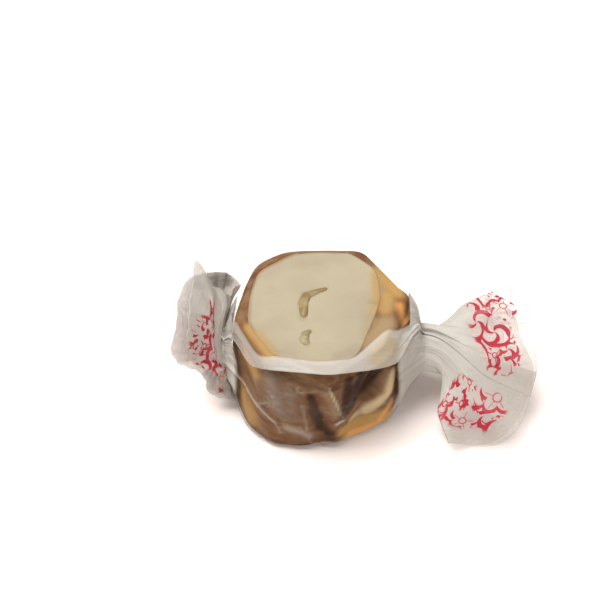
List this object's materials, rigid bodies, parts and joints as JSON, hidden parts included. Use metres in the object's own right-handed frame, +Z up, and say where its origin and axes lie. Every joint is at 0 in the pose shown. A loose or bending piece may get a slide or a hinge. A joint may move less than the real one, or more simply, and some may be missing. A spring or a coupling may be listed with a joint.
{
  "type": "wrapped taffy",
  "caption": "Drum-shaped pulled taffy with a cream core, caramel jacket and small streaks, rolled in waxed paper with a gathered, fanned end on each side.",
  "frame": {"origin": "under the middle of the candy, on the flat of the wrapper that the piece rests on", "axes": "+Z up, through the candy's cut faces; +X along the twist axis towards the wide fan; -Y is the front, where the sheet's loose edge lies"},
  "size_m": [0.0553, 0.0283, 0.0224],
  "materials": {
    "cream": "matt, slightly waxy cream-coloured pulled taffy",
    "caramel": "smooth, translucent caramel taffy, satin",
    "streak": "amber caramel streak, satin",
    "waxed_paper": "thin translucent waxed paper with a plain red print on its fans"
  },
  "bodies": {
    "root": {"cream_core": "cream", "caramel_jacket": "caramel", "streak_hook": "streak", "streak_crescent": "streak", "wax_wrapper": "waxed_paper"}
  },
  "joints": []
}
